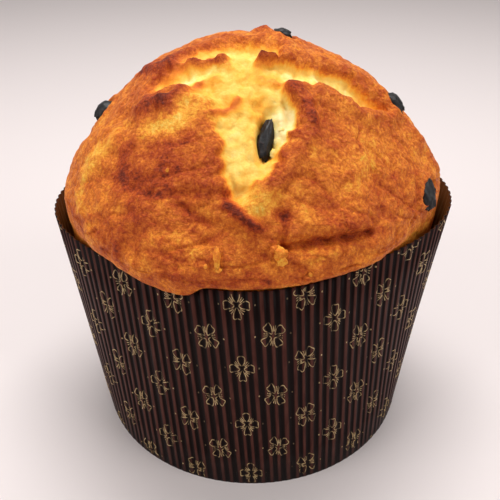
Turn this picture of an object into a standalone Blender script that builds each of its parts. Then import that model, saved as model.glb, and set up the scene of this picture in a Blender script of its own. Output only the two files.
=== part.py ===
"""A tall sweet loaf with raisins, risen over the rim of its fluted paper case.

The base of the case rests on the ground plane with its centre at the origin. +Z is up and the front is -Y.
Lengths are named in millimetres and turned to metres where a mesh is made.
Places on the risen crust are skin coordinates: millimetres measured over the crust from the crown,
the first to the right (+X) and the second to the front (-Y).
"""

import math

import bmesh
import bpy
from mathutils import Vector

MM = 0.001

# The paper case
BASE_RADIUS = 85.0
RIM_RADIUS = 89.5
RIM_OVAL = 0.0725  # the rim is pushed wider at the left and right by this share
RIM_SQUARE = 0.041
CASE_HEIGHT = 120.0
RIM_TILT = 2.6  # the right side of the rim stands this much higher, the left this much lower
PAPER = 0.5
FLUTES = 128
FLUTE_PROFILE = (0.35, 0.35, -0.55)  # two points on each rounded ridge, one in the valley
FLUTE_LEAN = math.radians(-4.5)  # how far a flute's top is turned from its foot

# The risen crust
SKIN = 125.0  # length over the crust from the crown to the widest ring
CROWN_HEIGHT = 197.5
CRUST_RADIUS = 90.5
CRUST_OVAL = 0.03
WIDEST_HEIGHT = 132.0
FRONT_DROP = 7.0  # the widest ring sits this much lower at the front and the back
FULLNESS = (1.02, 1.6)  # powers that shape the radius and the height
BULGES = (  # azimuth and spread in degrees, how far out, how far up
    (0.0, 40.0, 1.6, 0.0),
    (-30.0, 20.0, 1.5, -2.0),
    (58.0, 18.0, -4.0, 2.0),
    (180.0, 45.0, 2.0, 0.0),
    (-88.0, 26.0, -3.0, 0.0),
)
BACK_RISE = 5.0  # the back of the dome is this much fuller halfway up

# The opening in the crown: arms of bare crumb between four curled flaps, each point with its half width
OPENING = (
    ((-2, 32, 12), (1, 45, 16), (-1, 57, 12), (-5, 66, 7), (-6, 74, 4)),
    ((-2, 32, 12), (-14, 27, 8), (-27, 18, 5), (-38, 18, 3)),
    ((-2, 32, 12), (13, 24, 6), (26, 22, 5), (44, 21, 6), (56, 19, 2)),
    ((-2, 32, 12), (-4, 20, 6), (-4, 12, 6)),
    ((-24, 10, 4), (-9, 9, 6), (6, 12, 5)),
)
OPENING_DEPTH = 5.0
LIP_RISE = 2.2
LIP_WIDTH = 7.0

# Ridges, folds and lumps: their lines in skin coordinates, width, height out of the crust
RIDGES = (
    (((-44, 30), (-36, 33)), 5.0, 3.0),
    (((-34, 34), (-27, 31), (-22, 26)), 4.0, 2.6),
    (((-14, 42), (-6, 38)), 3.0, 1.8),
    (((2, 21), (8, 15)), 3.5, 2.2),
    (((14, 35), (19, 41), (23, 47)), 4.0, 3.0),
    (((-46, -2), (-37, 6), (-30, 12)), 5.0, 2.4),
    (((3, -5), (10, -4)), 4.5, 3.4),
    (((-9, 79), (-3, 84), (2, 88)), 3.5, 2.0),
    (((14, 96), (27, 93), (43, 88), (57, 84)), 4.5, -2.6),
    (((20, 86), (34, 83), (50, 79)), 7.0, 1.5),
    (((16, 102), (30, 99), (48, 94)), 4.0, 1.4),
    (((-51, 61), (-38, 68), (-26, 72), (-10, 74)), 4.0, -1.1),
    (((-34, 73), (-27, 77), (-20, 83)), 4.0, -1.3),
    (((77, 16), (100, 20)), 7.0, 1.8),
    (((-84, 70), (-40, 110)), 16.0, 1.5),
)

# Raisins: skin place, length, width, thickness, turn on the crust in degrees, how far the middle stands out
RAISINS = {
    "raisin_left": ((-73, -4), 12.0, 10.0, 9.0, 60.0, -0.2),
    "raisin_right": ((62, 9), 11.0, 9.0, 7.5, -35.0, -1.2),
    "raisin_low": ((99, 44), 16.0, 11.0, 8.0, -75.0, -1.4),
    "raisin_split": ((6, 52), 20.0, 7.0, 7.0, 80.0, -1.6),
    "raisin_crown": ((12, -5), 9.0, 7.0, 6.0, -20.0, -1.0),
}
POCKET_GAP = 0.4
LONG_FOLD = 0.07  # depth of the folds along a raisin, and of those that wind round it
WOUND_FOLD = 0.05

# The loaf inside the case
CASE_GAP = 1.1  # kept between the loaf and the innermost paper
LOAF_FOOT = 1.2  # height of the loaf's underside above the ground plane
PULL_DEPTH = 28.0  # where the loaf shrinks from the paper it does so over this height
SINK = 14.0  # where the crust stays inside the rim it runs down into the case by this much
SINK_SPREAD = 4.0
RIM_GAP = 0.5  # kept between the crust and the rim it hangs over
NECK_GAP = 0.4
LEAST_TURN = 1.5  # the crust always turns in by at least this much
NECK_DROP = 1.5
LOAF_COLUMNS = 86
LOAF_RINGS = 4
SHOULDER_RINGS = 5
CRUST_RINGS = 19
DROOP = 2.5  # how far the crust hangs down outside the rim at the front left
DROOP_AZIMUTH = math.radians(-27.0)
DROOP_SPREAD = math.radians(15.0)


def around(azimuth, radius, height):
    """A point at an azimuth measured from the front towards the right."""
    return Vector((radius * math.sin(azimuth), -radius * math.cos(azimuth), height))


def smooth(t):
    t = min(1.0, max(0.0, t))
    return t * t * (3.0 - 2.0 * t)


def hump(azimuth, centre, spread):
    """1 at the centre azimuth, falling away on both sides."""
    turn = (azimuth - centre + math.pi) % (2.0 * math.pi) - math.pi
    return math.exp(-((turn / spread) ** 2))


def rim_radius(azimuth):
    oval = RIM_OVAL * math.cos(2.0 * azimuth)
    return RIM_RADIUS * (1.0 - oval + RIM_SQUARE * math.cos(4.0 * azimuth))


def rim_height(azimuth):
    return CASE_HEIGHT + RIM_TILT * math.sin(azimuth)


def case_radius(azimuth, height):
    """The paper's middle radius, halfway between ridges and valleys."""
    share = height / CASE_HEIGHT
    return BASE_RADIUS + (rim_radius(azimuth) - BASE_RADIUS) * share


def inside_case(azimuth, height):
    """The largest radius that the loaf may have inside the case."""
    return case_radius(azimuth, height) + min(FLUTE_PROFILE) - PAPER - CASE_GAP


def bare_crust(azimuth, share):
    """The smooth dome, with share 0 at the crown and 1 at the widest ring."""
    back = max(0.0, -math.cos(azimuth)) ** 2
    radius = CRUST_RADIUS * (1.0 - CRUST_OVAL * math.cos(2.0 * azimuth))
    widest = WIDEST_HEIGHT - FRONT_DROP * math.cos(azimuth) ** 2
    for centre, spread, out, up in BULGES:
        near = hump(azimuth, math.radians(centre), math.radians(spread))
        radius += out * near
        widest += up * near
    angle = share * math.pi / 2.0
    fall = math.copysign(abs(math.cos(angle)) ** FULLNESS[1], math.cos(angle))
    height = widest + (CROWN_HEIGHT - widest) * fall
    height += BACK_RISE * back * math.sin(2.0 * angle) ** 2
    return around(azimuth, radius * math.sin(angle) ** FULLNESS[0], height)


def skin_place(right, front):
    """Azimuth and share of a place in skin coordinates."""
    return math.atan2(right, front), math.hypot(right, front) / SKIN


def outward(azimuth, share):
    """The smooth dome's outward direction."""
    if share < 0.02:
        return Vector((0.0, 0.0, 1.0))
    step = 0.01
    along = bare_crust(azimuth, share + step) - bare_crust(azimuth, share - step)
    across = bare_crust(azimuth + step, share) - bare_crust(azimuth - step, share)
    return along.cross(across).normalized()


def nearest_on(place, start, end):
    """Distance from a place to a straight stretch, and how far along it the nearest point is."""
    run = (end[0] - start[0], end[1] - start[1])
    off = (place[0] - start[0], place[1] - start[1])
    along = (off[0] * run[0] + off[1] * run[1]) / (run[0] ** 2 + run[1] ** 2)
    along = min(1.0, max(0.0, along))
    return math.hypot(off[0] - along * run[0], off[1] - along * run[1]), along


def from_opening(place):
    """Distance outside the edge of the bare crumb, negative within it."""
    best = SKIN
    for arm in OPENING:
        for start, end in zip(arm, arm[1:]):
            away, along = nearest_on(place, start, end)
            best = min(best, away - (start[2] + (end[2] - start[2]) * along))
    return best


def relief(place):
    """How far the crust stands out of the smooth dome at a skin place."""
    away = from_opening(place)
    out = -OPENING_DEPTH * smooth(0.5 - away / LIP_WIDTH)
    out += LIP_RISE * math.exp(-((away - LIP_WIDTH) / LIP_WIDTH) ** 2)
    for line, width, rise in RIDGES:
        apart = min(nearest_on(place, start, end)[0] for start, end in zip(line, line[1:]))
        out += rise * math.exp(-((apart / width) ** 2))
    return out


def crust_point(azimuth, share):
    """A point on the finished crust."""
    place = (SKIN * share * math.sin(azimuth), SKIN * share * math.cos(azimuth))
    fade = smooth((1.1 - share) / 0.15)
    return bare_crust(azimuth, share) + outward(azimuth, share) * (relief(place) * fade)


def crust_shoulder(azimuth, turned):
    """The crust's lower edge, turning in from the widest ring (0) to the neck inside the rim (1)."""
    widest = crust_point(azimuth, 1.0)
    edge = math.hypot(widest.x, widest.y)
    rim = rim_height(azimuth)
    room = inside_case(azimuth, rim)
    sunk = smooth((room - RIM_GAP - edge) / SINK_SPREAD)
    neck = min(room - NECK_GAP, edge - LEAST_TURN)
    clear = rim_radius(azimuth) + max(FLUTE_PROFILE) + RIM_GAP
    hang = DROOP * hump(azimuth, DROOP_AZIMUTH, DROOP_SPREAD) * smooth((edge - clear) / 1.5)
    low = rim + RIM_GAP - SINK * sunk
    angle = turned * math.pi / 2.0
    radius = neck + (edge - neck) * math.cos(angle)
    height = widest.z - (widest.z - low) * math.sin(angle)
    outside = smooth((radius - clear) / 1.0)
    return around(azimuth, radius, height - hang * math.sin(2.0 * angle) * outside)


def loaf_profile(azimuth):
    """The loaf's side at one azimuth, from the foot's edge up to the ring below the crown."""
    neck = crust_shoulder(azimuth, 1.0)
    narrow = math.hypot(neck.x, neck.y)
    top = min(neck.z, rim_height(azimuth)) - NECK_DROP
    points = []
    for ring in range(LOAF_RINGS):
        height = LOAF_FOOT + (top - LOAF_FOOT) * (ring / (LOAF_RINGS - 1)) ** 0.6
        wall = inside_case(azimuth, height)
        shrink = smooth((height - top + PULL_DEPTH) / PULL_DEPTH)
        points.append(around(azimuth, wall + (min(narrow, wall) - wall) * shrink, height))
    for ring in range(SHOULDER_RINGS):
        points.append(crust_shoulder(azimuth, 1.0 - ring / SHOULDER_RINGS))
    for ring in range(CRUST_RINGS):
        points.append(crust_point(azimuth, 1.0 - ring / CRUST_RINGS))
    return points


def collection(name):
    made = bpy.data.collections.new(name)
    bpy.context.scene.collection.children.link(made)
    return made


def finish(name, colour, roughness, specular=0.5):
    made = bpy.data.materials.new(name)
    made.use_nodes = True
    shader = made.node_tree.nodes["Principled BSDF"]
    shader.inputs["Base Color"].default_value = (*colour, 1.0)
    shader.inputs["Roughness"].default_value = roughness
    shader.inputs["Specular IOR Level"].default_value = specular
    return made


def make_object(name, bm, home, material=None):
    """Turns a mesh in millimetres into an object in metres."""
    bmesh.ops.scale(bm, vec=(MM, MM, MM), verts=bm.verts)
    mesh = bpy.data.meshes.new(name)
    bm.to_mesh(mesh)
    bm.free()
    made = bpy.data.objects.new(name, mesh)
    home.objects.link(made)
    if material:
        mesh.materials.append(material)
    return made


def loft(bm, rings, low_tip, high_tip):
    """Closes rings of points into one body, with a tip below the first ring and one above the last."""
    made = [[bm.verts.new(p) for p in ring] for ring in rings]
    count = len(made[0])
    for low, high in zip(made, made[1:]):
        for i in range(count):
            j = (i + 1) % count
            bm.faces.new((low[i], low[j], high[j], high[i]))
    foot = bm.verts.new(low_tip)
    crown = bm.verts.new(high_tip)
    for i in range(count):
        j = (i + 1) % count
        bm.faces.new((made[0][j], made[0][i], foot))
        bm.faces.new((made[-1][i], made[-1][j], crown))


def make_loaf(home, material):
    """The whole loaf, from its flat foot in the case to the split crown."""
    columns = [loaf_profile(2.0 * math.pi * i / LOAF_COLUMNS) for i in range(LOAF_COLUMNS)]
    rings = list(zip(*columns))
    bm = bmesh.new()
    loft(bm, rings, Vector((0.0, 0.0, LOAF_FOOT)), crust_point(0.0, 0.0))
    bmesh.ops.triangulate(bm, faces=bm.faces)
    return make_object("loaf", bm, home, material)


def make_case(home, material):
    """The fluted paper cup: an open sheet given its thickness inwards."""
    bm = bmesh.new()
    steps = len(FLUTE_PROFILE)
    columns = FLUTES * steps
    foot = []
    rim = []
    for i in range(columns):
        azimuth = 2.0 * math.pi * i / columns
        wave = FLUTE_PROFILE[i % steps]
        top = azimuth + FLUTE_LEAN
        foot.append(bm.verts.new(around(azimuth, BASE_RADIUS + wave, 0.0)))
        rim.append(bm.verts.new(around(top, rim_radius(top) + wave, rim_height(top))))
    middle = bm.verts.new((0.0, 0.0, 0.0))
    for i in range(columns):
        j = (i + 1) % columns
        bm.faces.new((foot[i], foot[j], rim[j], rim[i]))
        bm.faces.new((foot[j], foot[i], middle))
    made = make_object("case", bm, home, material)
    sheet = made.modifiers.new("paper", "SOLIDIFY")
    sheet.thickness = PAPER * MM
    sheet.offset = -1.0
    sheet.use_even_offset = True
    return made


def raisin_mesh(size, stretch, seed):
    """A wrinkled berry: an oval with shallow folds running along it."""
    bm = bmesh.new()
    bmesh.ops.create_uvsphere(bm, u_segments=14, v_segments=8, radius=1.0)
    for v in bm.verts:
        turn = math.atan2(v.co.y, v.co.x)
        fold = 1.0 + LONG_FOLD * math.sin(4.0 * turn + seed)
        fold += WOUND_FOLD * math.sin(3.0 * v.co.z + 2.0 * turn + seed)
        v.co = Vector((v.co.z * size[0], v.co.x * size[1], v.co.y * size[2])) * (0.5 * fold)
        v.co += v.co.normalized() * stretch
    return bm


def seat(made, place, turn, stand):
    """Sets a berry on the crust, turned in the crust's plane, its middle standing out by stand."""
    azimuth, share = skin_place(*place)
    normal = outward(azimuth, share)
    right = Vector((1.0, 0.0, 0.0))
    right = (right - normal * right.dot(normal)).normalized()
    ahead = normal.cross(right)
    angle = math.radians(turn)
    long_way = right * math.cos(angle) + ahead * math.sin(angle)
    short_way = normal.cross(long_way)
    middle = (crust_point(azimuth, share) + normal * stand) * MM
    for v in made.data.vertices:
        p = v.co.copy()
        v.co = middle + long_way * p.x + short_way * p.y + normal * p.z
    made.data.update()


def make_raisins(home, cutters, loaf, material):
    """Each raisin in a pocket pressed into the crust, a hair wider than the raisin."""
    for seed, (name, (place, length, width, thick, turn, stand)) in enumerate(RAISINS.items()):
        size = (length, width, thick)
        berry = make_object(name, raisin_mesh(size, 0.0, seed), home, material)
        seat(berry, place, turn, stand)
        berry.data.shade_smooth()
        pocket = make_object(name + "_pocket", raisin_mesh(size, POCKET_GAP, seed), cutters)
        seat(pocket, place, turn, stand)
        pocket.hide_render = True
        pocket.display_type = "WIRE"
        cut = loaf.modifiers.new(name, "BOOLEAN")
        cut.operation = "DIFFERENCE"
        cut.solver = "EXACT"
        cut.object = pocket


def main():
    for old in list(bpy.data.objects):
        bpy.data.objects.remove(old, do_unlink=True)
    home = collection("panettone")
    cutters = collection("cutters")
    crust = finish("baked_crust", (0.55, 0.21, 0.05), 0.6)
    paper = finish("printed_paper", (0.045, 0.022, 0.02), 0.5)
    fruit = finish("dried_fruit", (0.012, 0.008, 0.01), 0.35)
    loaf = make_loaf(home, crust)
    make_case(home, paper)
    make_raisins(home, cutters, loaf, fruit)


main()
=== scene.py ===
"""A tall raisin loaf risen over its fluted paper case, dressed for close viewing.

Lengths are named in millimetres and become metres when a mesh is made. Places on the risen crust are skin
coordinates: millimetres over the crust from the crown, first to the right (+X), then to the front (-Y).
Doneness runs from 0, pale open crumb, to 1, the darkest crust; it also carries painted shade in folds,
creases and the crack and along the lower front edge, and painted light on one fold's lower lip.
"""
import math

import bpy
import numpy as np
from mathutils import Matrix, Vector


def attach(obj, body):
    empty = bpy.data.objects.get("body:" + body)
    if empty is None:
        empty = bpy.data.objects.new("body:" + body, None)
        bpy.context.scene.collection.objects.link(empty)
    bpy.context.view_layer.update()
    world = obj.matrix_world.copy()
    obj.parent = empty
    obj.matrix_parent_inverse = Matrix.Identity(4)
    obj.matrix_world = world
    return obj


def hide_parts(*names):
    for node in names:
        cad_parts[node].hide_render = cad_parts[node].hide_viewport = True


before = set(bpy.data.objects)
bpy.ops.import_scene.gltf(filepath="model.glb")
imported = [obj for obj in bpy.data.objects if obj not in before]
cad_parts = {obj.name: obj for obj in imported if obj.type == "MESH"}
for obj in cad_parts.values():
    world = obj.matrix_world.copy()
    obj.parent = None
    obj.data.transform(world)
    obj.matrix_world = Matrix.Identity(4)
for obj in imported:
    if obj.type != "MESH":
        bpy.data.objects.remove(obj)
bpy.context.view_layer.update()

MM = 0.001

# The paper case, as the frame has it
BASE_RADIUS = 85.0
RIM_RADIUS = 89.5
RIM_OVAL = 0.0725
RIM_SQUARE = 0.041
CASE_HEIGHT = 120.0
RIM_TILT = 2.6
PAPER = 0.5
FLUTES = 128
FLUTE_TOP = 0.32
FLUTE_DEPTH = 0.87
FLUTE_LEAN = math.radians(-4.5)
FOOT_FADE = 6.0
# Waves round the case, and how far each shifts the flutes
UNEVEN_FLUTES = ((17.0, 0.30), (41.0, 0.22), (7.0, 0.25))
FLAT_RADIUS = 87.0  # one turn of the flat sheet is this radius's circumference

# The risen crust
SKIN = 125.0
CROWN_HEIGHT = 197.5
CRUST_RADIUS = 90.5
CRUST_OVAL = 0.03
WIDEST_HEIGHT = 132.0
FRONT_DROP = 7.0
FULLNESS = (1.02, 1.6)
BULGES = ((0.0, 40.0, 1.4, 0.0), (-30.0, 20.0, 1.5, -2.0), (58.0, 18.0, -4.0, 2.0), (180.0, 45.0, 1.0, 0.0),
          (-88.0, 26.0, -3.0, 0.0))
BACK_RISE = 5.0
CASE_GAP = 1.1
LOAF_FOOT = 1.2
SINK = 14.0  # where the crust stays inside the rim it runs down into the case by this much
SINK_SPREAD = 4.0
RIM_GAP = 0.5
NECK_GAP = 0.4
LEAST_TURN = 1.5
NECK_DROP = 1.5
SIDE_DONENESS = 0.55
DROOP = 5.0
DROOP_AZIMUTH = math.radians(-18.0)
DROOP_SPREAD = (math.radians(22.0), math.radians(3.5))  # to the left, to the right
CRUST_RINGS = 154
SHOULDER_RINGS = 16

# The opening in the crown: arms of bare crumb between four curled flaps, each point with its half width
OPENING = (
    ((-2, 32, 12), (1, 45, 16), (-1, 57, 12), (-5, 66, 7), (-6, 74, 4)),
    ((-2, 32, 12), (-14, 27, 8), (-27, 18, 5), (-38, 18, 3)),
    ((-2, 32, 12), (13, 24, 6), (26, 22, 5), (44, 21, 6), (56, 19, 2)),
    ((-2, 32, 12), (-4, 20, 6), (-4, 12, 6)),
    ((-24, 10, 4), (-9, 9, 6), (6, 12, 5)),
)
OPENING_DEPTH = 4.5
LIP_RISE = 2.0

# Ridges and folds: their points, width, rise out of the crust, change of doneness. Raised ridges are browner
# crust; rows with a negative rise are folds, creases and a hole, darkened as painted shade, and one fold's
# lower lip is painted paler as painted light.
RIDGES = (
    (((-44, 30), (-36, 33)), 4.6, 3.0, 0.30),
    (((-34, 34), (-27, 31), (-22, 26)), 3.0, 2.6, 0.34),
    (((-21, 25), (-13, 26)), 2.4, 1.0, 0.14),
    (((-14, 42), (-6, 38)), 2.0, 1.8, 0.30),
    (((2, 21), (8, 15)), 3.0, 2.2, 0.24),
    (((4, 28), (13, 29)), 2.8, 1.6, 0.22),
    (((15, 35), (20, 41), (24, 48)), 3.4, 3.0, 0.16),
    (((-25, 14), (-15, 12)), 2.6, 1.6, 0.20),
    (((-46, -2), (-37, 6), (-30, 12)), 5.0, 2.4, 0.26),
    (((3, -5), (10, -4)), 4.2, 3.2, 0.30),
    (((-9, 79), (-3, 84), (2, 88)), 2.6, 2.4, 0.60),
    # a small hole and the crease below it, painted darker: painted shade
    (((11, 81), (14, 82)), 2.4, -2.0, 0.36),
    (((13, 84), (14, 94)), 1.8, -1.2, 0.12),
    # the deep fold at the lower right, painted darker: painted shade
    (((14, 96), (27, 93), (43, 88), (57, 84)), 2.2, -4.2, 0.20),
    (((20, 87), (34, 84), (50, 80)), 6.0, 1.8, 0.02),
    # the fold's lower lip, painted a little paler: painted light
    (((16, 102), (30, 99), (48, 94)), 3.0, 1.4, -0.06),
    # two creases on the left, painted darker: painted shade
    (((-51, 61), (-38, 68), (-26, 72), (-10, 74)), 1.8, -1.1, 0.14),
    (((-34, 73), (-27, 77), (-20, 83)), 1.8, -1.3, 0.16),
    (((77, 16), (100, 20)), 7.0, 1.8, 0.05),
    (((-84, 70), (-40, 110)), 16.0, 1.5, 0.02),
    # a short crease, painted darker: painted shade
    (((46, 40), (46, 50)), 1.4, -0.6, 0.20),
    (((-60, 35), (-72, 38), (-84, 48), (-90, 57)), 6.0, 0.8, -0.18),
    (((-55, 44), (-57, 56)), 4.0, 0.0, 0.12),
    # a short crease, painted darker: painted shade
    (((-25, 87), (-21, 92)), 2.0, -1.0, 0.10),
)

# Patches of another doneness, and a band of painted shade: place, half length, half width, turn in degrees,
# change
PATCHES = (
    ((-44, 54), 26.0, 14.0, 20.0, 0.09),
    ((-32, 62), 18.0, 7.0, 15.0, 0.06),
    ((48, 47), 9.0, 16.0, -10.0, -0.17),
    ((-80, 22), 9.0, 22.0, 20.0, -0.06),
    ((-37, 42), 10.0, 4.0, 15.0, -0.26),
    ((-21, 36), 16.0, 10.0, -20.0, -0.34),
    ((0, 78), 14.0, 8.0, 0.0, -0.25),
    ((-60, 85), 30.0, 20.0, -35.0, 0.05),
    # a darker band along the lower front edge: painted shade
    ((10, 122), 60.0, 13.0, 0.0, 0.11),
    ((60, 82), 30.0, 14.0, -35.0, 0.03),
    ((0, 2), 30.0, 8.0, 0.0, -0.06),
    ((8, 66), 5.0, 12.0, -30.0, 0.06),
)
CRUMB_PATCHES = (
    ((14, 48), 8.0, 13.0, 0.0, -0.26),
    ((-27, 21), 9.0, 4.0, 0.0, -0.20),
    ((18, 25), 7.0, 4.0, 20.0, -0.16),
    ((33, 21), 16.0, 5.0, 0.0, -0.16),
    ((-9, 10), 16.0, 5.0, 0.0, -0.06),
    ((-8, 60), 6.0, 12.0, 0.0, -0.06),
)
CRACK = ((3, 40), (5, 51), (8, 60))

RAISINS = {
    "raisin_left": ((-73, -4), 12.0, 10.0, 9.0, 60.0, -0.2),
    "raisin_right": ((62, 9), 11.0, 9.0, 7.5, -35.0, -1.2),
    "raisin_low": ((99, 44), 16.0, 11.0, 8.0, -75.0, -1.4),
    "raisin_split": ((6, 52), 20.0, 7.0, 7.0, 80.0, -1.6),
    "raisin_crown": ((12, -5), 9.0, 7.0, 6.0, -20.0, -1.6),
}

RAISIN_FOLDS = 0.16  # shares of the raisin's size
RAISIN_WRINKLES = 0.07

# The flower print
PRINT_COLUMNS = 38
PRINT_PERIOD = 35.0
PRINT_START = 113.0
PRINT_SQUEEZE = 0.75
PRINT_TURN = math.radians(33.0)
INK_LIFT = 0.07


# ---------- shared rules of shape ----------

def smooth(t):
    t = np.clip(t, 0.0, 1.0)
    return t * t * (3.0 - 2.0 * t)


def around(azimuth, radius, height):
    return np.stack([radius * np.sin(azimuth), -radius * np.cos(azimuth), height + 0.0 * azimuth], -1)


def hump(azimuth, centre, spread):
    turn = (azimuth - centre + math.pi) % (2.0 * math.pi) - math.pi
    return np.exp(-((turn / spread) ** 2))


def rim_radius(azimuth):
    return RIM_RADIUS * (1.0 - RIM_OVAL * np.cos(2.0 * azimuth) + RIM_SQUARE * np.cos(4.0 * azimuth))


def rim_height(azimuth):
    return CASE_HEIGHT + RIM_TILT * np.sin(azimuth)


def inside_case(azimuth, height):
    wall = BASE_RADIUS + (rim_radius(azimuth) - BASE_RADIUS) * height / CASE_HEIGHT
    return wall + FLUTE_TOP - FLUTE_DEPTH - PAPER - CASE_GAP


def lumps(points, size, seed):
    """Soft lumps of about the given size, between -1 and 1."""
    p = np.asarray(points, float) / size + 31.7 * seed
    cell = np.floor(p).astype(np.int64)
    t = p - cell
    t = t * t * (3.0 - 2.0 * t)
    total = np.zeros(len(p))
    for corner in range(8):
        step = np.array([corner & 1, corner >> 1 & 1, corner >> 2 & 1])
        key = (cell + step) @ np.array([73856093, 19349663, 83492791])
        key = (key ^ (key >> 13)) * 1274126177 & 0x7FFFFFFF
        weight = np.prod(np.where(step, t, 1.0 - t), axis=1)
        total += weight * (key / 0x3FFFFFFF - 1.0)
    return total


def bare_crust(azimuth, share):
    """The smooth dome, with share 0 at the crown and 1 at the widest ring."""
    back = np.maximum(0.0, -np.cos(azimuth)) ** 2
    radius = CRUST_RADIUS * (1.0 - CRUST_OVAL * np.cos(2.0 * azimuth))
    widest = WIDEST_HEIGHT - FRONT_DROP * np.cos(azimuth) ** 2
    for centre, spread, out, up in BULGES:
        near = hump(azimuth, math.radians(centre), math.radians(spread))
        radius = radius + out * near
        widest = widest + up * near
    angle = share * math.pi / 2.0
    fall = np.copysign(np.abs(np.cos(angle)) ** FULLNESS[1], np.cos(angle))
    height = widest + (CROWN_HEIGHT - widest) * fall + BACK_RISE * back * np.sin(2.0 * angle) ** 2
    return around(azimuth, radius * np.abs(np.sin(angle)) ** FULLNESS[0], height)


def outward(azimuth, share):
    """The smooth dome's outward direction."""
    step = 0.01
    safe = np.maximum(share, 0.02)
    along = bare_crust(azimuth, safe + step) - bare_crust(azimuth, safe - step)
    across = bare_crust(azimuth + step, safe) - bare_crust(azimuth - step, safe)
    normal = np.cross(along, across)
    normal /= np.linalg.norm(normal, axis=-1, keepdims=True)
    return np.where((share < 0.02)[..., None], np.array([0.0, 0.0, 1.0]), normal)


def nearest_on(place, start, end):
    """Distance from places to a straight stretch, and how far along it the nearest point is."""
    start2, run = np.array(start[:2], float), np.array(end[:2], float) - np.array(start[:2], float)
    along = np.clip((place - start2) @ run / (run @ run), 0.0, 1.0)
    return np.linalg.norm(place - start2 - along[:, None] * run, axis=1), along


def from_line(place, line):
    """Distance from places to a line of straight stretches."""
    return np.min([nearest_on(place, start, end)[0] for start, end in zip(line, line[1:])], axis=0)


def from_opening(place):
    """Distance outside the edge of the bare crumb, negative within it."""
    best = np.full(len(place), SKIN)
    for arm in OPENING:
        for start, end in zip(arm, arm[1:]):
            away, along = nearest_on(place, start, end)
            best = np.minimum(best, away - (start[2] + (end[2] - start[2]) * along))
    return best


def in_patch(place, centre, half_length, half_width, turn):
    """1 at a patch's middle, falling to 0 round its edge."""
    c, s = math.cos(math.radians(turn)), math.sin(math.radians(turn))
    off = place - np.array(centre, float)
    along = (off[:, 0] * c + off[:, 1] * s) / half_length
    across = (off[:, 1] * c - off[:, 0] * s) / half_width
    return np.exp(-((along ** 2 + across ** 2) ** 1.3))


def creases(points, size, seed, thin):
    """Fine branching lines, 1 on the line and 0 beside it."""
    return np.maximum(0.0, 1.0 - np.abs(lumps(points, size, seed)) * thin)


def crust_relief(place, points):
    """How far the crust stands out of the smooth dome, and its doneness and bareness."""
    wobble = place + 1.5 * np.stack([lumps(points, 6.0, 6), lumps(points, 6.0, 7)], -1)
    torn_side = smooth((place[:, 0] + 3.0) / 8.0)  # the right edge of the opening is the sharp one
    ragged = 1.8 * lumps(points, 7.0, 1) + 1.2 * lumps(points, 2.6, 2)
    away = from_opening(place) + ragged
    bare = smooth(0.5 - away / (3.2 - 1.9 * torn_side))
    out = -OPENING_DEPTH * smooth(0.5 - away / (7.0 - 4.0 * torn_side))
    out += LIP_RISE * np.exp(-(((away - 4.5) / 4.0) ** 2)) * (0.6 + 0.6 * torn_side)
    done = 0.60 + 0.06 * lumps(points, 24.0, 3) + 0.08 * lumps(points, 9.0, 4) + 0.11 * lumps(points, 3.2, 15)
    done += 0.08 * np.exp(-(((away - 3.0) / 3.0) ** 2))
    for centre, length, width, turn, change in PATCHES:
        done += change * in_patch(place, centre, length, width, turn)
    crumb = 0.27 + 0.06 * lumps(points, 9.0, 5) + 0.05 * lumps(points, 3.0, 16)
    for centre, length, width, turn, change in CRUMB_PATCHES:
        crumb += change * in_patch(place, centre, length, width, turn)
    done = done * (1.0 - bare) + crumb * bare
    craggy = 1.0 + 0.45 * lumps(points, 5.0, 21) + 0.25 * lumps(points, 2.2, 22)
    for line, width, rise, change in RIDGES:
        near = np.exp(-((from_line(wobble, line) / width) ** 2))
        out += rise * near * craggy
        # raised ridges brown more; where the rise is negative, this darkening is painted shade
        done += change * near
    near = np.exp(-((from_line(wobble, CRACK) / 2.4) ** 2))
    out -= 2.6 * near
    # the crack is painted darker: painted shade
    done += 0.10 * near
    # pulled strands of crumb run to the front across the opening
    strands = np.stack([wobble[:, 0], 0.22 * wobble[:, 1], 0.0 * bare], -1)
    out += bare * (0.7 * lumps(strands, 2.6, 8) + 0.8 * lumps(points, 4.0, 9) + 0.3 * lumps(points, 1.8, 17))
    out -= bare * 0.8 * creases(points, 7.0, 18, 6.0)
    # soft lumps of the skin, and creases drawn out across its front
    drawn = np.stack([0.35 * wobble[:, 0] - 0.15 * wobble[:, 1], wobble[:, 1], 0.0 * bare], -1)
    lines = creases(drawn, 7.5, 12, 5.0) * smooth((place[:, 1] - 25.0) / 30.0)
    cracks = creases(points, 6.0, 19, 7.0)
    skin = 1.0 - bare
    out += 1.1 * lumps(points, 26.0, 10) + 0.85 * lumps(points, 10.0, 11)
    out += skin * (0.5 * lumps(points, 4.2, 13) + 0.3 * lumps(points, 2.0, 20))
    out -= skin * (0.75 * lines + 0.35 * cracks)
    # the creases and fine cracks are painted darker: painted shade
    done += skin * (0.09 * lines + 0.05 * cracks)
    return out, done, bare


def pockets(place):
    """Hollows in the crust that hold the raisins, each with a raised rim."""
    sunk = np.zeros(len(place))
    for centre, length, width, thick, turn, _ in RAISINS.values():
        c, s = math.cos(math.radians(turn)), math.sin(math.radians(turn))
        off = place - np.array(centre, float)
        along = (off[:, 0] * c - off[:, 1] * s) / (0.5 * length)
        across = (off[:, 1] * c + off[:, 0] * s) / (0.5 * width)
        reach = np.hypot(along, across)
        sunk -= 0.42 * thick * np.exp(-((reach / 1.15) ** 6))
        sunk += 1.0 * np.exp(-(((reach - 1.55) / 0.35) ** 2))
    return sunk


# ---------- meshes and materials ----------

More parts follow.
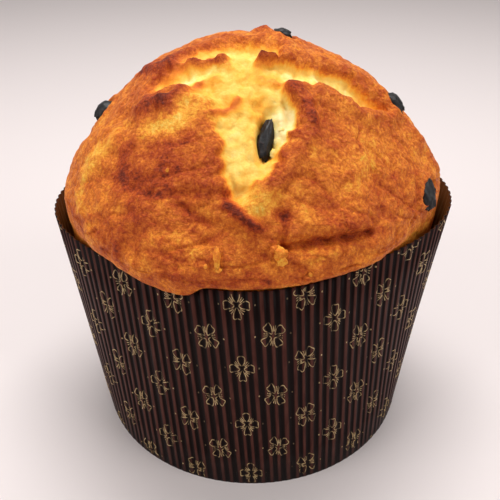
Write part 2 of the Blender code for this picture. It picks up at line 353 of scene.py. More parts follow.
def mesh_object(name, points, faces, attributes=()):
    """A named mesh from points in millimetres."""
    mesh = bpy.data.meshes.new(name)
    mesh.from_pydata((np.asarray(points) * MM).tolist(), [], faces)
    mesh.update()
    for label, values in attributes:
        layer = mesh.attributes.new(label, "FLOAT", "POINT")
        layer.data.foreach_set("value", np.asarray(values, np.float32))
    made = bpy.data.objects.new(name, mesh)
    bpy.context.scene.collection.objects.link(made)
    mesh.shade_smooth()
    return made


def node(tree, kind, inputs=None, **settings):
    """Adds a node; inputs are values or sockets, by name or place."""
    made = tree.nodes.new(kind)
    for key, value in settings.items():
        setattr(made, key, value)
    for key, value in (inputs or {}).items():
        socket = made.inputs[key]
        if isinstance(value, bpy.types.NodeSocket):
            tree.links.new(value, socket)
        else:
            socket.default_value = value
    return made


def calc(tree, operation, *values):
    """One step of arithmetic on numbers or sockets."""
    made = node(tree, "ShaderNodeMath", dict(enumerate(values)), operation=operation)
    return made.outputs[0]


def linear(red, green, blue):
    """A colour named by its 0 to 255 screen values."""
    made = []
    for value in (red, green, blue):
        share = value / 255.0
        made.append(share / 12.92 if share <= 0.04045 else ((share + 0.055) / 1.055) ** 2.4)
    return (*made, 1.0)


def ramp(tree, value, stops):
    made = node(tree, "ShaderNodeValToRGB", {"Fac": value})
    band = made.color_ramp
    while len(band.elements) > 1:
        band.elements.remove(band.elements[-1])
    band.elements[0].position, band.elements[0].color = stops[0]
    for place, colour in stops[1:]:
        band.elements.new(place).color = colour
    return made.outputs["Color"]


def noise(tree, place, scale, detail=2.0, roughness=0.5, distortion=0.0):
    """Noise between 0 and 1; scale is in cells a metre."""
    inputs = {"Vector": place, "Scale": scale, "Detail": detail}
    inputs.update({"Roughness": roughness, "Distortion": distortion})
    return node(tree, "ShaderNodeTexNoise", inputs).outputs["Fac"]


def give_bump(tree, shader, height, strength, distance):
    made = node(tree, "ShaderNodeBump", {"Height": height, "Strength": strength, "Distance": distance})
    tree.links.new(made.outputs["Normal"], shader.inputs["Normal"])


def attribute(tree, name):
    return node(tree, "ShaderNodeAttribute", attribute_name=name).outputs["Fac"]


def new_material(name):
    made = bpy.data.materials.new(name)
    made.use_nodes = True
    tree = made.node_tree
    shader = tree.nodes["Principled BSDF"]
    return made, tree, shader


def blend(tree, share, first, second, mode="MIX"):
    made = node(tree, "ShaderNodeMix", {}, data_type="RGBA", blend_type=mode)
    for key, value in ((0, share), (6, first), (7, second)):
        if isinstance(value, bpy.types.NodeSocket):
            tree.links.new(value, made.inputs[key])
        else:
            made.inputs[key].default_value = value
    return made.outputs[2]


CRUST_GRAIN = 0.0028  # metres of bump
PAPER_GRAIN = 0.0002
RAISIN_GRAIN = 0.0006

CREAM = linear(252, 232, 168)
PALE_CRUMB = linear(250, 211, 108)
YELLOW_GOLD = linear(250, 179, 62)
ORANGE_GOLD = linear(235, 137, 44)
ORANGE_BROWN = linear(207, 104, 32)
RED_BROWN = linear(172, 66, 20)
SCORCHED = linear(106, 34, 14)


def crust_material():
    """Crust and crumb: one scale of doneness, speckled, with stronger speckle and grain where baked than
    where torn.
    """
    made, tree, shader = new_material("baked_crust")
    place = node(tree, "ShaderNodeTexCoord").outputs["Object"]
    done = attribute(tree, "doneness")
    bare = attribute(tree, "bareness")
    speck = noise(tree, place, 700.0, 4.0, 0.7)
    mottle = noise(tree, place, 230.0, 4.0, 0.6)
    cloud = noise(tree, place, 60.0, 3.0, 0.55)
    baked = calc(tree, "SUBTRACT", 1.0, bare)
    strength = calc(tree, "MULTIPLY_ADD", baked, 0.62, 0.22)
    fine = calc(tree, "MULTIPLY", calc(tree, "SUBTRACT", speck, 0.5), strength)
    middle = calc(tree, "MULTIPLY", calc(tree, "SUBTRACT", mottle, 0.5), 0.30)
    broad = calc(tree, "MULTIPLY", calc(tree, "SUBTRACT", cloud, 0.5), 0.20)
    level = calc(tree, "ADD", calc(tree, "ADD", done, fine), calc(tree, "ADD", middle, broad))
    stops = (
        (0.0, CREAM), (0.17, PALE_CRUMB), (0.34, YELLOW_GOLD), (0.50, ORANGE_GOLD),
        (0.64, ORANGE_BROWN), (0.82, RED_BROWN), (1.0, SCORCHED),
    )
    colour = ramp(tree, level, stops)
    tree.links.new(colour, shader.inputs["Base Color"])
    rough = calc(tree, "MULTIPLY_ADD", mottle, 0.25, 0.42)
    tree.links.new(rough, shader.inputs["Roughness"])
    shader.inputs["Specular IOR Level"].default_value = 0.18
    shader.inputs["Subsurface Weight"].default_value = 0.12
    shader.inputs["Subsurface Scale"].default_value = 0.002
    shader.inputs["Subsurface Radius"].default_value = (1.0, 0.5, 0.2)
    grain = calc(tree, "MULTIPLY_ADD", speck, 0.5, mottle)
    firm = calc(tree, "MULTIPLY_ADD", baked, 0.55, 0.4)
    give_bump(tree, shader, grain, firm, CRUST_GRAIN)
    return made


def paper_material():
    """Dark waxed baking paper, browner and lighter on the inside, with painted shade: the flute valleys
    outside are painted near black.
    """
    made, tree, shader = new_material("fluted_paper")
    place = node(tree, "ShaderNodeTexCoord").outputs["Object"]
    inner = attribute(tree, "inner")
    stretched = node(tree, "ShaderNodeMapping", {"Vector": place, "Scale": (1.0, 1.0, 0.15)})
    fibre = noise(tree, stretched.outputs[0], 700.0, 3.0)
    cloud = noise(tree, place, 35.0)
    crease = attribute(tree, "crease")
    ridge = ramp(tree, fibre, ((0.3, linear(54, 27, 22)), (0.7, linear(84, 50, 42))))
    redder = blend(tree, calc(tree, "MULTIPLY", cloud, 0.4), ridge, linear(84, 36, 30))
    # painted shade: near black in the flute valleys, where the crease attribute is high
    valley_shade = ramp(tree, crease, ((0.35, (0, 0, 0, 1)), (0.72, (1, 1, 1, 1))))
    outside = blend(tree, valley_shade, redder, linear(15, 4, 3))
    within = ramp(tree, cloud, ((0.3, linear(72, 38, 16)), (0.7, linear(104, 66, 32))))
    colour = blend(tree, inner, outside, within)
    tree.links.new(colour, shader.inputs["Base Color"])
    shader.inputs["Roughness"].default_value = 0.45
    shader.inputs["Specular IOR Level"].default_value = 0.06
    give_bump(tree, shader, fibre, 0.15, PAPER_GRAIN)
    return made


def ink_material():
    """Thin pale gold ink, patchy where the paper shows through, and painted darker in the flute valleys as
    painted shade.
    """
    made, tree, shader = new_material("gold_ink")
    place = node(tree, "ShaderNodeTexCoord").outputs["Object"]
    wear = noise(tree, place, 500.0, 3.0)
    stops = ((0.32, linear(98, 76, 52)), (0.52, linear(176, 148, 104)), (0.75, linear(206, 182, 136)))
    crease = attribute(tree, "crease")
    # painted shade: the ink turns dark brown in the flute valleys
    valley_shade = ramp(tree, crease, ((0.80, (0, 0, 0, 1)), (0.99, (1, 1, 1, 1))))
    colour = blend(tree, valley_shade, ramp(tree, wear, stops), linear(48, 34, 24))
    tree.links.new(colour, shader.inputs["Base Color"])
    shader.inputs["Roughness"].default_value = 0.5
    shader.inputs["Specular IOR Level"].default_value = 0.2
    return made


def raisin_material():
    """Nearly black dried fruit with soft gloss on its folds."""
    made, tree, shader = new_material("dried_fruit")
    place = node(tree, "ShaderNodeTexCoord").outputs["Object"]
    fold = noise(tree, place, 420.0, 4.0, distortion=0.8)
    stops = ((0.35, linear(5, 4, 6)), (0.6, linear(14, 10, 12)), (0.8, linear(56, 42, 42)))
    tree.links.new(ramp(tree, fold, stops), shader.inputs["Base Color"])
    rough = calc(tree, "MULTIPLY_ADD", fold, 0.4, 0.25)
    shader.inputs["Specular IOR Level"].default_value = 0.3
    tree.links.new(rough, shader.inputs["Roughness"])
    give_bump(tree, shader, fold, 0.5, RAISIN_GRAIN)
    return made


# ---------- the loaf ----------

def dome_grid(rings):
    """Rings of 6, 12, 18... points round the crown: azimuths, shares and the triangles between them."""
    azimuth, share, start = [np.zeros(1)], [np.zeros(1)], [0]
    for k in range(1, rings + 1):
        start.append(start[-1] + (6 * (k - 1) if k > 1 else 1))
        azimuth.append(2.0 * math.pi * np.arange(6 * k) / (6 * k))
        share.append(np.full(6 * k, k / rings))
    faces = []
    for k in range(1, rings + 1):
        for sector in range(6):
            for i in range(k):
                low = start[k] + sector * k + i
                right = start[k] + (sector * k + i + 1) % (6 * k)
                inner_count = max(1, 6 * (k - 1))
                inner = start[k - 1] + (sector * (k - 1) + i) % inner_count
                faces.append((low, right, inner))
                if i < k - 1:
                    faces.append((right, start[k - 1] + (sector * (k - 1) + i + 1) % inner_count, inner))
    return np.concatenate(azimuth), np.concatenate(share), faces


def shoulder(azimuth, edge, top, turned):
    """The crust turning in from the widest ring (0) to the neck at or inside the rim (1)."""
    rim = rim_height(azimuth)
    room = inside_case(azimuth, rim)
    sunk = smooth((room - RIM_GAP - edge) / SINK_SPREAD)
    neck = np.minimum(room - NECK_GAP, edge - LEAST_TURN)
    clear = rim_radius(azimuth) + FLUTE_TOP + RIM_GAP
    turn = (azimuth - DROOP_AZIMUTH + math.pi) % (2.0 * math.pi) - math.pi
    spread = np.where(turn < 0.0, DROOP_SPREAD[0], DROOP_SPREAD[1])
    hang = DROOP * np.exp(-((turn / spread) ** 2)) * smooth((edge - clear) / 1.5)
    low = rim + RIM_GAP - SINK * sunk
    angle = turned * math.pi / 2.0
    radius = neck + (edge - neck) * math.cos(angle)
    height = top - (top - low) * math.sin(angle)
    return radius, height - hang * math.sin(2.0 * angle) * smooth(radius - clear)


def make_loaf(material):
    azimuth, share, faces = dome_grid(CRUST_RINGS)
    bare_points = bare_crust(azimuth, share)
    normal = outward(azimuth, share)
    place = SKIN * np.stack([share * np.sin(azimuth), share * np.cos(azimuth)], -1)
    out, done, bare = crust_relief(place, bare_points)
    out += pockets(place)
    points = bare_points + normal * (out * smooth((1.1 - share) / 0.15))[:, None]
    count = 6 * CRUST_RINGS
    rim_azimuth = azimuth[-count:]
    edge = np.hypot(points[-count:, 0], points[-count:, 1])
    top = points[-count:, 2]
    blocks, shades, bares = [points], [done], [bare]
    previous = len(points) - count
    for ring in range(1, SHOULDER_RINGS + 1):
        turned = ring / SHOULDER_RINGS
        radius, height = shoulder(rim_azimuth, edge, top, turned)
        row = around(rim_azimuth, radius, height)
        grown = SKIN * (1.0 + 0.10 * turned)
        place = grown * np.stack([np.sin(rim_azimuth), np.cos(rim_azimuth)], -1)
        _, row_done, row_bare = crust_relief(place, row)
        wrinkle = 0.25 * lumps(row, 3.0, 14) * (1.0 - turned)
        row[:, 2] += wrinkle
        blocks.append(row)
        shades.append(row_done - 0.10 * turned)
        bares.append(row_bare)
    neck_radius, neck_height = shoulder(rim_azimuth, edge, top, 1.0)
    side_top = np.minimum(neck_height, rim_height(rim_azimuth)) - NECK_DROP
    for fall in (0.0, 0.25, 1.0):
        height = side_top + (LOAF_FOOT - side_top) * fall
        wall = inside_case(rim_azimuth, height)
        radius = np.minimum(neck_radius, wall) if fall == 0.0 else wall
        blocks.append(around(rim_azimuth, radius, height))
        shades.append(np.full(count, SIDE_DONENESS))
        bares.append(np.zeros(count))
    faces = list(faces)
    rows = len(blocks) - 1
    for ring in range(rows):
        first = previous + ring * count
        for i in range(count):
            j = (i + 1) % count
            faces.append((first + i, first + count + i, first + count + j, first + j))
    foot = sum(len(b) for b in blocks)
    last = foot - count
    blocks.append(np.array([[0.0, 0.0, LOAF_FOOT]]))
    shades.append(np.array([SIDE_DONENESS]))
    bares.append(np.zeros(1))
    faces += [(last + (i + 1) % count, last + i, foot) for i in range(count)]
    loaf = mesh_object(
        "loaf_crust", np.concatenate(blocks), faces,
        (("doneness", np.concatenate(shades)), ("bareness", np.concatenate(bares))),
    )
    loaf.data.materials.append(material)
    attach(loaf, "root")
    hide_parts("loaf")
    return loaf


# ---------- the case and its print ----------

def wrap_group():
    """Bends a flat sheet (x along, y up, z out of the paper) round the fluted case."""
    tree = bpy.data.node_groups.new("wrap_on_flutes", "GeometryNodeTree")
    tree.interface.new_socket("Flat", in_out="INPUT", socket_type="NodeSocketVector")
    tree.interface.new_socket("Round", in_out="OUTPUT", socket_type="NodeSocketVector")
    tree.interface.new_socket("Crease", in_out="OUTPUT", socket_type="NodeSocketFloat")
    into, out = node(tree, "NodeGroupInput"), node(tree, "NodeGroupOutput")
    flat = node(tree, "ShaderNodeSeparateXYZ", {0: into.outputs[0]})
    azimuth = calc(tree, "DIVIDE", flat.outputs[0], FLAT_RADIUS * MM)
    share = calc(tree, "DIVIDE", flat.outputs[1], CASE_HEIGHT * MM)
    turn = calc(tree, "MULTIPLY", azimuth, FLUTES / 2.0)
    for times, most in UNEVEN_FLUTES:
        ripple = calc(tree, "SINE", calc(tree, "MULTIPLY", azimuth, times))
        turn = calc(tree, "MULTIPLY_ADD", ripple, most, turn)
    swing = calc(tree, "ABSOLUTE", calc(tree, "COSINE", turn))
    valley = calc(tree, "POWER", swing, 5.0)
    crease = calc(tree, "POWER", swing, 60.0)
    wave = calc(tree, "SUBTRACT", FLUTE_TOP * MM, calc(tree, "MULTIPLY", valley, FLUTE_DEPTH * MM))
    wave = calc(tree, "ADD", wave, calc(tree, "MULTIPLY", crease, 0.35 * FLUTE_DEPTH * MM))
    above_foot = calc(tree, "MULTIPLY_ADD", flat.outputs[1], 1.0 / (FOOT_FADE * MM), 0.15)
    risen = node(tree, "ShaderNodeClamp", {0: above_foot}).outputs[0]
    wave = calc(tree, "MULTIPLY", wave, risen)
    flatten = node(tree, "ShaderNodeClamp", {0: calc(tree, "MULTIPLY_ADD", flat.outputs[2], 400.0, 1.4)})
    offset = calc(tree, "MULTIPLY_ADD", wave, flatten.outputs[0], flat.outputs[2])
    foot_radius = calc(tree, "ADD", offset, BASE_RADIUS * MM)
    leaned = calc(tree, "ADD", azimuth, FLUTE_LEAN)
    oval = calc(tree, "MULTIPLY", calc(tree, "COSINE", calc(tree, "MULTIPLY", leaned, 2.0)), -RIM_OVAL)
    square = calc(tree, "MULTIPLY", calc(tree, "COSINE", calc(tree, "MULTIPLY", leaned, 4.0)), RIM_SQUARE)
    rim = calc(tree, "MULTIPLY", calc(tree, "ADD", calc(tree, "ADD", oval, square), 1.0), RIM_RADIUS * MM)
    rim = calc(tree, "ADD", rim, offset)
    lift = calc(tree, "MULTIPLY_ADD", calc(tree, "SINE", leaned), RIM_TILT * MM, CASE_HEIGHT * MM)
    ends = []
    for angle, radius, height in ((azimuth, foot_radius, 0.0), (leaned, rim, lift)):
        across = calc(tree, "MULTIPLY", radius, calc(tree, "SINE", angle))
        ahead = calc(tree, "MULTIPLY", calc(tree, "MULTIPLY", radius, calc(tree, "COSINE", angle)), -1.0)
        ends.append(node(tree, "ShaderNodeCombineXYZ", {0: across, 1: ahead, 2: height}).outputs[0])
    mixed = node(tree, "ShaderNodeMix", {}, data_type="VECTOR", clamp_factor=False)
    for key, value in ((0, share), (4, ends[0]), (5, ends[1])):
        tree.links.new(value, mixed.inputs[key])
    tree.links.new(mixed.outputs[1], out.inputs[0])
    tree.links.new(swing, out.inputs[1])
    return tree


def plain_copy(name, source):
    """The modifier's result as a plain mesh object; the source is removed."""
    evaluated = source.evaluated_get(bpy.context.evaluated_depsgraph_get())
    mesh = bpy.data.meshes.new_from_object(evaluated)
    bpy.data.objects.remove(source, do_unlink=True)
    mesh.name = name
    made = bpy.data.objects.new(name, mesh)
    bpy.context.scene.collection.objects.link(made)
    return made


def start_tree(name, sizes):
    """A geometry tree with a geometry input, named number inputs and a geometry output."""
    tree = bpy.data.node_groups.new(name, "GeometryNodeTree")
    tree.interface.new_socket("Geometry", in_out="INPUT", socket_type="NodeSocketGeometry")
    keys = {}
    for label, value in sizes.items():
        kind = "NodeSocketMaterial" if isinstance(value, bpy.types.Material) else "NodeSocketFloat"
        keys[label] = tree.interface.new_socket(label, in_out="INPUT", socket_type=kind).identifier
    tree.interface.new_socket("Geometry", in_out="OUTPUT", socket_type="NodeSocketGeometry")
    return tree, keys, node(tree, "NodeGroupInput"), node(tree, "NodeGroupOutput")


def give_tree(made, tree, keys, sizes):
    modifier = made.modifiers.new(tree.name, "NODES")
    modifier.node_group = tree
    for label, value in sizes.items():
        modifier[keys[label]] = value


def bend(tree, wrap, geometry, squeeze=None):
    """Sets every point of a flat sheet to its place on the case."""
    place = node(tree, "GeometryNodeInputPosition").outputs[0]
    if squeeze is not None:
        parts = node(tree, "ShaderNodeSeparateXYZ", {0: place})
        narrow = calc(tree, "MULTIPLY", parts.outputs[0], squeeze)
        squeezed = {0: narrow, 1: parts.outputs[1], 2: parts.outputs[2]}
        place = node(tree, "ShaderNodeCombineXYZ", squeezed).outputs[0]
    call = node(tree, "GeometryNodeGroup", {}, node_tree=wrap)
    tree.links.new(place, call.inputs[0])
    # the crease attribute is 1 in the flute valleys; the paper and ink materials paint shade there by it
    noted = node(
        tree, "GeometryNodeStoreNamedAttribute",
        {"Geometry": geometry, "Name": "crease", "Value": call.outputs[1]}, data_type="FLOAT", domain="POINT",
    )
    moved = {"Geometry": noted.outputs[0], "Position": call.outputs[0]}
    return node(tree, "GeometryNodeSetPosition", moved).outputs[0]


def paint(tree, geometry, material, out):
    """Gives the geometry its material and sends it out of the tree."""
    made = node(tree, "GeometryNodeSetMaterial", {"Geometry": geometry, "Material": material})
    tree.links.new(made.outputs[0], out.inputs[0])


def scatter(tree, points, motif):
    return node(tree, "GeometryNodeInstanceOnPoints", {"Points": points, "Instance": motif})


def make_case(wrap, material):
    """The case: a flat strip whose rows run from the middle of the underside, up, over the rim and back."""
    per_flute = 10
    columns = FLUTES * per_flute
    depth = BASE_RADIUS + FLUTE_TOP
    rows = [(0.0, -depth + 0.02, 0.0), (0.0, -6.0, 0.0), (0.0, -1.0, 0.0)]
    rows += [(CASE_HEIGHT * i / 6.0, 0.0, 0.0) for i in range(7)]
    rows += [(PAPER + (CASE_HEIGHT - PAPER) * i / 6.0, -PAPER, 1.0) for i in range(6, -1, -1)]
    rows += [(PAPER, -6.0, 1.0), (PAPER, -depth + 0.02, 1.0)]
    turn = 2.0 * math.pi * FLAT_RADIUS
    points, inner, faces = [], [], []
    for height, out, within in rows:
        for i in range(columns + 1):
            points.append((turn * i / columns, height, out))
            inner.append(within)
    for row in range(len(rows) - 1):
        for i in range(columns):
            a = row * (columns + 1) + i
            faces.append((a, a + 1, a + columns + 2, a + columns + 1))
    strip = mesh_object("case_strip", points, faces, (("inner", inner),))
    sizes = {"Seam": 0.00003, "Paper": material}
    tree, keys, into, out = start_tree("fluted_case", sizes)
    shaped = bend(tree, wrap, into.outputs[0])
    closed = node(tree, "GeometryNodeMergeByDistance", {"Geometry": shaped, "Distance": into.outputs["Seam"]})
    real = node(tree, "GeometryNodeRealizeInstances", {0: closed.outputs[0]})
    paint(tree, real.outputs[0], into.outputs["Paper"], out)
    give_tree(strip, tree, keys, sizes)
    case = plain_copy("paper_case", strip)
    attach(case, "root")
    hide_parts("case")
    return case


def ribbon(path, width, closed):
    """A thin flat bar of ink along a path: points and faces."""
    path = np.array(path, float)
    ahead = np.roll(path, -1, 0) - np.roll(path, 1, 0)
    if not closed:
        ahead[0] = path[1] - path[0]
        ahead[-1] = path[-1] - path[-2]
    side = np.stack([-ahead[:, 1], ahead[:, 0]], -1)
    side *= 0.5 * width / np.linalg.norm(side, axis=1, keepdims=True)
    points, faces = [], []
    for left, right in zip(path + side, path - side):
        points += [(*left, INK_LIFT), (*right, INK_LIFT), (*right, -0.12), (*left, -0.12)]
    count = len(path)
    for i in range(count if closed else count - 1):
        a, b = 4 * i, 4 * ((i + 1) % count)
        for k in range(4):
            faces.append((a + k, a + (k + 1) % 4, b + (k + 1) % 4, b + k))
    if not closed:
        faces += [(3, 2, 1, 0), (4 * count - 4, 4 * count - 3, 4 * count - 2, 4 * count - 1)]
    return points, faces


def flower_parts():
    """One flower: four notched petals drawn as lines, short stamens between, and a dot on each side."""
    parts = []
    petal_lines = 20
    for quarter in range(4):
        turn = quarter * math.pi / 2.0
        along = np.array([math.sin(turn), math.cos(turn)])
        across = np.array([math.cos(turn), -math.sin(turn)])
        outline = []
        for i in range(petal_lines):
            t = 2.0 * math.pi * i / petal_lines
            reach = 4.9 - 3.5 * math.cos(t) - 1.3 * math.exp(-((math.cos(t / 2.0) ** 2) * 9.0))
            outline.append(along * reach + across * 2.9 * math.sin(t) * (0.72 - 0.28 * math.cos(t)))
        parts.append((ribbon(outline, 0.48, True), False))
        for lean, near, far in ((0.66, 2.6, 5.6), (0.90, 2.6, 5.6)):
            way = along * math.cos(lean) + across * math.sin(lean)
            parts.append((ribbon([way * near, way * (near + far) / 2.0, way * far], 0.45, False), False))
    for side in (-1.0, 1.0):
        middle = side * 10.2
        parts.append((ribbon([(middle - 0.4, 0.0), (middle + 0.4, 0.0)], 0.8, False), True))
    return parts


def make_print(wrap, material):
    """Flowers set out in climbing columns on the flat sheet, then bent round the flutes."""
    points, faces, dot = [], [], []
    for (part_points, part_faces), is_dot in flower_parts():
        faces += [tuple(len(points) + i for i in face) for face in part_faces]
        points += part_points
        dot += [1.0 if is_dot else 0.0] * len(part_points)
    motif = mesh_object("flower_motif", points, faces, (("dot", dot),))
    pitch = 2.0 * math.pi * FLAT_RADIUS * MM / PRINT_COLUMNS / PRINT_SQUEEZE
    sizes = {
        "Column pitch": pitch, "Row height": PRINT_PERIOD * MM, "Climb": PRINT_PERIOD * MM / PRINT_COLUMNS,
        "Start height": PRINT_START * MM, "Turn": PRINT_TURN, "Squeeze": PRINT_SQUEEZE,
        "Lowest": 0.8 * MM, "Highest": (CASE_HEIGHT - 0.6) * MM, "Ink": material,
    }
    tree, keys, into, out = start_tree("flower_print", sizes)
    size = into.outputs
    rows = 8
    ids = node(tree, "GeometryNodeInputIndex").outputs[0]
    column = calc(tree, "FLOOR", calc(tree, "DIVIDE", calc(tree, "ADD", ids, 0.5), rows))
    row = calc(tree, "SUBTRACT", ids, calc(tree, "MULTIPLY", column, rows))
    signed = calc(tree, "WRAP", column, PRINT_COLUMNS / 2.0, -PRINT_COLUMNS / 2.0)
    half = calc(tree, "MULTIPLY", calc(tree, "MODULO", column, 2.0), 0.5)
    step = calc(tree, "SUBTRACT", calc(tree, "SUBTRACT", row, 5.0), half)
    across = calc(tree, "MULTIPLY", column, size["Column pitch"])
    up = calc(tree, "MULTIPLY_ADD", step, size["Row height"], size["Start height"])
    up = calc(tree, "MULTIPLY_ADD", signed, size["Climb"], up)
    spot = node(tree, "ShaderNodeCombineXYZ", {0: across, 1: up, 2: 0.0})
    spots = node(tree, "GeometryNodePoints", {"Count": PRINT_COLUMNS * rows, "Position": spot.outputs[0]})
    third = calc(tree, "SUBTRACT", calc(tree, "FLOORED_MODULO", calc(tree, "ADD", signed, 1.0), 3.0), 1.0)
    turned = calc(tree, "MULTIPLY", third, size["Turn"])
    spin = node(tree, "ShaderNodeCombineXYZ", {0: 0.0, 1: 0.0, 2: turned})
    is_dot = node(tree, "GeometryNodeInputNamedAttribute", {"Name": "dot"}, data_type="FLOAT").outputs[0]
    split = node(tree, "GeometryNodeSeparateGeometry", {"Geometry": into.outputs[0], "Selection": is_dot})
    dots = scatter(tree, spots.outputs[0], split.outputs[0])
    flowers = scatter(tree, spots.outputs[0], split.outputs[1])
    tree.links.new(spin.outputs[0], flowers.inputs["Rotation"])
    joined = node(tree, "GeometryNodeJoinGeometry")
    tree.links.new(dots.outputs[0], joined.inputs[0])
    tree.links.new(flowers.outputs[0], joined.inputs[0])
    real = node(tree, "GeometryNodeRealizeInstances", {0: joined.outputs[0]}).outputs[0]
    flat_place = node(tree, "GeometryNodeInputPosition").outputs[0]
    height = node(tree, "ShaderNodeSeparateXYZ", {0: flat_place}).outputs[1]
    low = calc(tree, "LESS_THAN", height, size["Lowest"])
    high = calc(tree, "GREATER_THAN", height, size["Highest"])
    beyond = calc(tree, "MAXIMUM", low, high)
    kept = node(tree, "GeometryNodeDeleteGeometry", {"Geometry": real, "Selection": beyond}, domain="POINT")
    shaped = bend(tree, wrap, kept.outputs[0], size["Squeeze"])
    final = node(tree, "GeometryNodeRealizeInstances", {0: shaped})
    paint(tree, final.outputs[0], size["Ink"], out)
    give_tree(motif, tree, keys, sizes)
    made = plain_copy("flower_print", motif)
    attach(made, "root")
    return made


# ---------- raisins and crumbs ----------

def seat_axes(place):
    """Where a piece sits on the finished crust, and the crust's right, ahead and outward directions there."""
    azimuth = np.array([math.atan2(*place)])
    share = np.array([math.hypot(*place) / SKIN])
    normal = outward(azimuth, share)[0]
    out, _, _ = crust_relief(np.array([place], float), bare_crust(azimuth, share))
    right = np.array([1.0, 0.0, 0.0])
    right = right - normal * (right @ normal)
    right /= np.linalg.norm(right)
    return bare_crust(azimuth, share)[0] + normal * out[0], right, np.cross(normal, right), normal


def make_raisin(name, place, size, turn, stand, seed, material):
    """A wrinkled berry pressed into the crust."""
    spots, facets = ball(36, 24)
    fold = 1.0 + RAISIN_FOLDS * lumps(spots * [3.0, 6.6, 6.6], 1.3, seed)
    fold += RAISIN_WRINKLES * lumps(spots * 5.0, 1.0, seed + 40)
    shaped = spots * (0.5 * fold)[:, None] * np.array(size)
    middle, right, ahead, normal = seat_axes(place)
    angle = math.radians(turn)
    long_way = right * math.cos(angle) + ahead * math.sin(angle)
    short_way = np.cross(normal, long_way)
    points = middle + normal * stand + shaped @ np.stack([long_way, short_way, normal])
    made = mesh_object(name, points, facets)
    made.data.materials.append(material)
    return made


def ball(columns, rows):
    """Points and faces of a closed unit ball, its poles on the long way."""
    points, faces = [(1.0, 0.0, 0.0)], []
    for r in range(1, rows):
        tilt = math.pi * r / rows
        for c in range(columns):
            turn = 2.0 * math.pi * c / columns
            points.append((math.cos(tilt), math.sin(tilt) * math.cos(turn), math.sin(tilt) * math.sin(turn)))
    points.append((-1.0, 0.0, 0.0))
    for c in range(columns):
        d = (c + 1) % columns
        faces.append((0, 1 + c, 1 + d))
        for r in range(rows - 2):
            a = 1 + r * columns
            faces.append((a + c, a + columns + c, a + columns + d, a + d))
        last = 1 + (rows - 2) * columns
        faces.append((last + c, len(points) - 1, last + d))
    return np.array(points), faces


# Place, size, doneness, and how long front to back against side to side
CRUMBS = (((13, 99), 6.0, 0.46, 1.0), ((14, 103), 4.5, 0.40, 0.8), ((10, 97), 3.5, 0.60, 1.0),
          ((-16, 100), 3.4, 0.46, 2.4), ((-16, 107), 2.6, 0.44, 0.8), ((30, 112), 1.8, 0.5, 1.0),
          ((-34, 60), 1.6, 0.5, 1.0), ((-22, 104), 1.8, 0.5, 1.0),
          ((9, 58), 3.0, 0.12, 1.5), ((12, 49), 2.5, 0.08, 1.0))


def make_crumbs(material):
    """Torn crumbs stuck on the lower crust."""
    points, faces, done = [], [], []
    for seed, (place, size, shade, long) in enumerate(CRUMBS):
        spots, facets = ball(20, 12)
        rough = 1.0 + 0.35 * lumps(spots * 3.0, 1.2, seed + 60) + 0.15 * lumps(spots * 7.0, 1.1, seed + 80)
        middle, right, ahead, normal = seat_axes(place)
        shaped = spots * (0.5 * size * rough)[:, None] * np.array([0.85, long, 0.62])
        faces += [tuple(len(points) + i for i in f) for f in facets]
        points += (middle + normal * 0.2 * size + shaped @ np.stack([right, ahead, normal])).tolist()
        done += [shade] * len(spots)
    made = mesh_object("stuck_crumbs", points, faces, (("doneness", done), ("bareness", [0.4] * len(done))))
    made.data.materials.append(material)
    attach(made, "root")


# ---------- the studio ----------

def looked_at(tree):
    """1 for rays straight from the camera or by way of a gloss or a clear thing."""
    path = node(tree, "ShaderNodeLightPath").outputs
    straight = calc(tree, "MAXIMUM", path["Is Camera Ray"], path["Is Glossy Ray"])
    return calc(tree, "MAXIMUM", straight, path["Is Transmission Ray"])


def make_floor():
    """A pale plain floor."""
    mesh = bpy.data.meshes.new("floor")
    mesh.from_pydata([(-9, -9, 0), (9, -9, 0), (9, 9, 0), (-9, 9, 0)], [], [(0, 1, 2, 3)])
    floor = bpy.data.objects.new("floor", mesh)
    bpy.context.scene.collection.objects.link(floor)
    made, tree, shader = new_material("pale_floor")
    shader.inputs["Base Color"].default_value = linear(222, 212, 210)
    shader.inputs["Roughness"].default_value = 0.7
    shader.inputs["Specular IOR Level"].default_value = 0.2
    tree.links.new(calc(tree, "MULTIPLY", looked_at(tree), 0.05), shader.inputs["Emission Strength"])
    shader.inputs["Emission Color"].default_value = linear(250, 240, 239)
    mesh.materials.append(made)


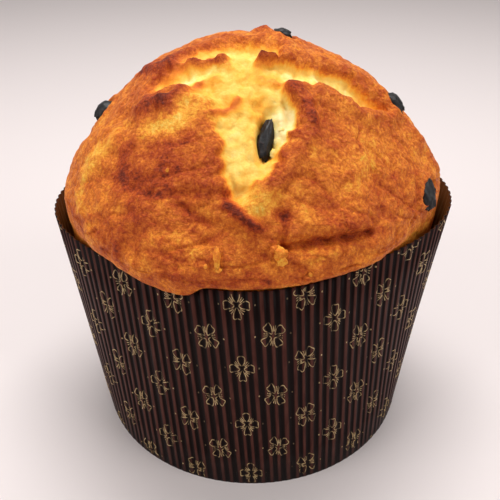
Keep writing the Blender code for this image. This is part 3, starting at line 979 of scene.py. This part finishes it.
def make_lamp(name, place, aim, size, watts):
    lamp = bpy.data.lights.new(name, "AREA")
    lamp.shape = "RECTANGLE"
    lamp.size, lamp.size_y = size
    lamp.energy = watts
    made = bpy.data.objects.new(name, lamp)
    made.location = place
    made.rotation_euler = (Vector(aim) - Vector(place)).to_track_quat("-Z", "Y").to_euler()
    bpy.context.scene.collection.objects.link(made)


def make_studio():
    make_lamp("top_softbox", (0.02, 0.28, 1.15), (0, 0, 0.12), (0.75, 0.6), 12.6)
    make_lamp("left_softbox", (-0.9, -0.5, 0.6), (0, 0, 0.12), (0.6, 0.9), 5.8)
    make_lamp("right_softbox", (0.9, -0.5, 0.7), (0, 0, 0.12), (0.6, 0.9), 5.5)
    world = bpy.data.worlds.new("studio")
    world.use_nodes = True
    sky = world.node_tree.nodes["Background"]
    sky.inputs["Color"].default_value = linear(232, 228, 227)
    tree = world.node_tree
    tree.links.new(calc(tree, "MULTIPLY_ADD", looked_at(tree), 0.5, 0.26), sky.inputs["Strength"])
    scene = bpy.context.scene
    scene.world = world
    scene.view_settings.view_transform = "Standard"


def make_camera():
    eye = Vector((0.0, -0.2967, 0.2739))
    aim = Vector((0.0, 0.0, 0.0845))
    lens = bpy.data.cameras.new("camera")
    lens.lens = 46.8
    lens.sensor_width = 36.0
    lens.shift_x = -0.0044
    lens.clip_start = 0.01
    made = bpy.data.objects.new("camera", lens)
    made.location = eye
    made.rotation_euler = (aim - eye).to_track_quat("-Z", "Y").to_euler()
    bpy.context.scene.collection.objects.link(made)
    bpy.context.scene.camera = made


def main():
    make_camera()
    crust = crust_material()
    make_loaf(crust)
    make_crumbs(crust)
    wrap = wrap_group()
    make_case(wrap, paper_material())
    make_print(wrap, ink_material())
    fruit = raisin_material()
    for seed, (name, (place, length, width, thick, turn, stand)) in enumerate(RAISINS.items()):
        berry = make_raisin("wrinkled_" + name, place, (length, width, thick), turn, stand, seed, fruit)
        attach(berry, "root")
        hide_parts(name)
    make_floor()
    make_studio()


main()
